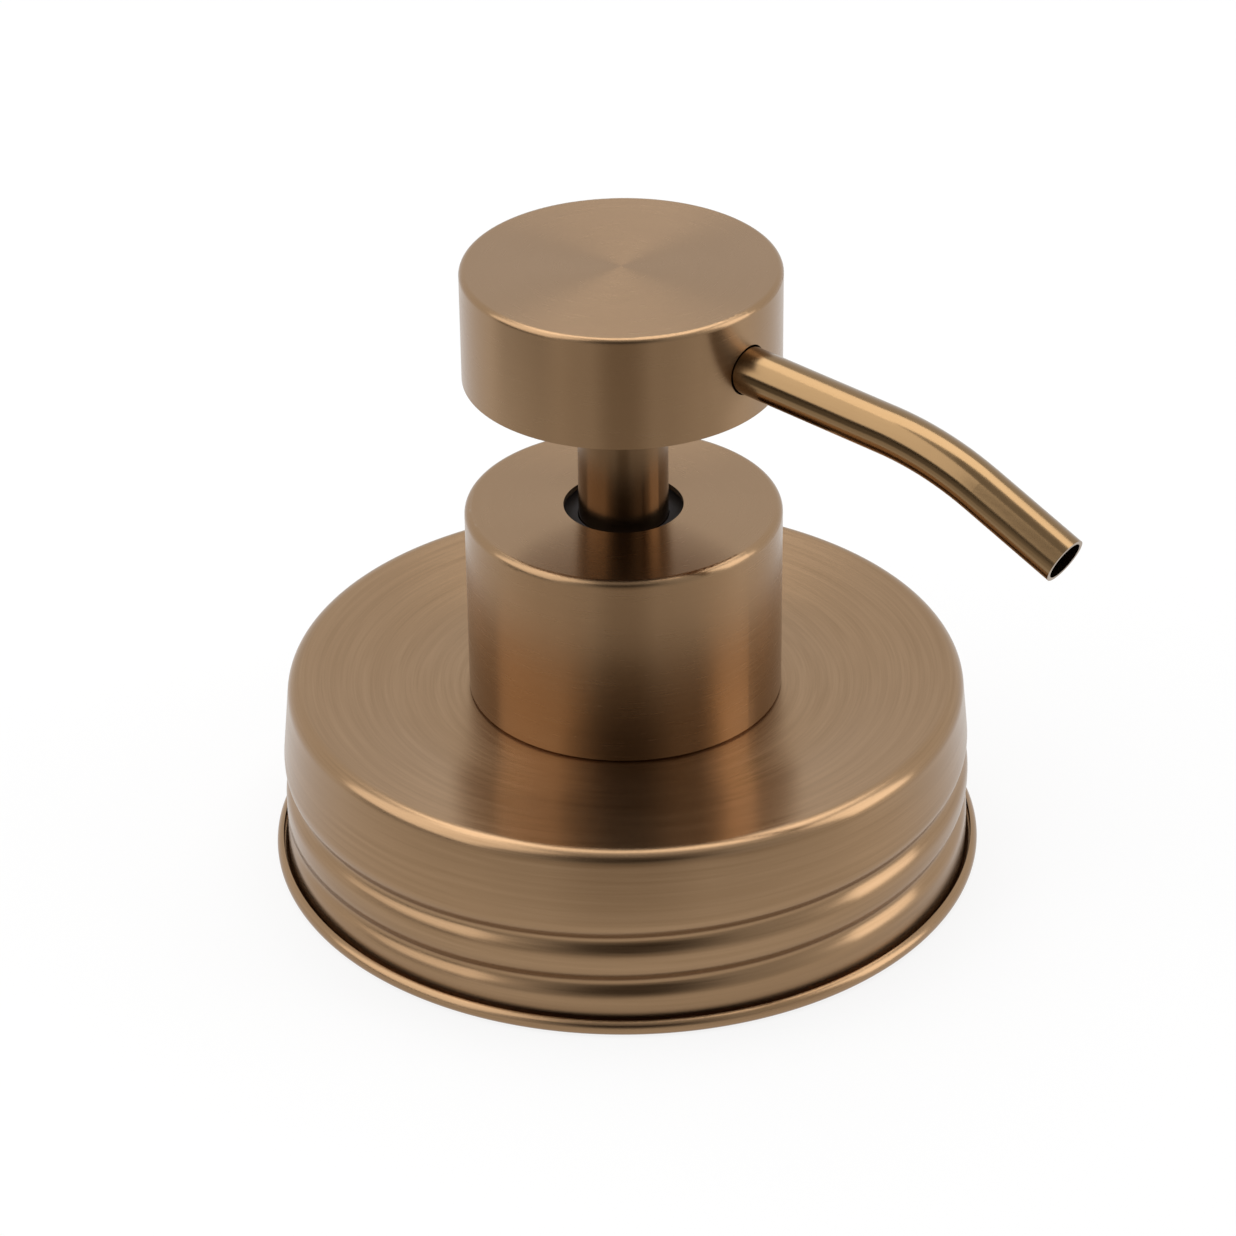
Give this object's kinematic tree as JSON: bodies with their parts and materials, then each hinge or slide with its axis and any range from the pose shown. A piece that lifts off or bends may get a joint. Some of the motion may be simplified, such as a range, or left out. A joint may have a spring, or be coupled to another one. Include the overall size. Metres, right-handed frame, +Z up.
{
  "type": "soap pump dispenser lid",
  "caption": "Screw-on jar lid with a brushed bronze press pump: threaded collar, sliding stem, turning head with a bent nozzle, ball valves and return spring inside.",
  "frame": {"origin": "centre of the lid's open mouth, in the plane of the curled rim", "axes": "+Z up along the pump's axis, +X along the nozzle"},
  "size_m": [0.0927, 0.075, 0.0675],
  "materials": {
    "bronze_sheet": "brushed stainless sheet with an antique bronze coating",
    "bronze_tube": "smooth stainless tube with an antique bronze coating",
    "dark_plastic": "moulded, satin",
    "pale_plastic": "natural moulded polypropylene",
    "gasket": "soft, matte",
    "steel": "bright stainless"
  },
  "bodies": {
    "lid": {"lid_shell": "bronze_sheet", "jar_gasket": "gasket", "neck": "dark_plastic", "neck_gasket": "gasket"},
    "pump": {"cylinder": "pale_plastic", "chaplet": "dark_plastic", "housing_gasket": "gasket", "ball_cage": "pale_plastic", "return_spring": "steel"},
    "collar": {"collar_shell": "bronze_sheet", "collar_insert": "dark_plastic"},
    "inlet_valve": {"inlet_ball": "steel"},
    "plunger": {"piston": "pale_plastic"},
    "head": {"head_shell": "bronze_sheet", "head_core": "dark_plastic", "head_base": "bronze_sheet", "nozzle": "bronze_tube", "nozzle_seal": "gasket", "stem_sleeve": "bronze_sheet", "piston_stem": "pale_plastic"},
    "outlet_valve": {"outlet_ball": "steel"}
  },
  "joints": [
    {"name": "pump_lift", "type": "slide", "parent": "lid", "child": "pump", "axis": [0, 0, 1], "range_m": [0, 0.006]},
    {"name": "collar_turn", "type": "hinge", "parent": "pump", "child": "collar", "pos_m": [0, 0, 0.03], "axis": [0, 0, 1], "range_deg": [0, 520]},
    {"name": "inlet_lift", "type": "slide", "parent": "pump", "child": "inlet_valve", "axis": [0, 0, 1], "range_m": [0, 0.0011]},
    {"name": "press", "type": "slide", "parent": "pump", "child": "plunger", "axis": [0, 0, -1], "range_m": [0, 0.014], "stiffness_N_per_m": 500, "springref_m": -0.01, "deforming": ["return_spring"]},
    {"name": "head_turn", "type": "hinge", "parent": "plunger", "child": "head", "pos_m": [0, 0, 0.06], "axis": [0, 0, 1], "continuous": true},
    {"name": "outlet_lift", "type": "slide", "parent": "head", "child": "outlet_valve", "axis": [0, 0, 1], "range_m": [0, 0.0011]}
  ],
  "couplings": [
    {"joint": "collar_turn", "follows": "pump_lift", "rad_per_m": 1496}
  ]
}
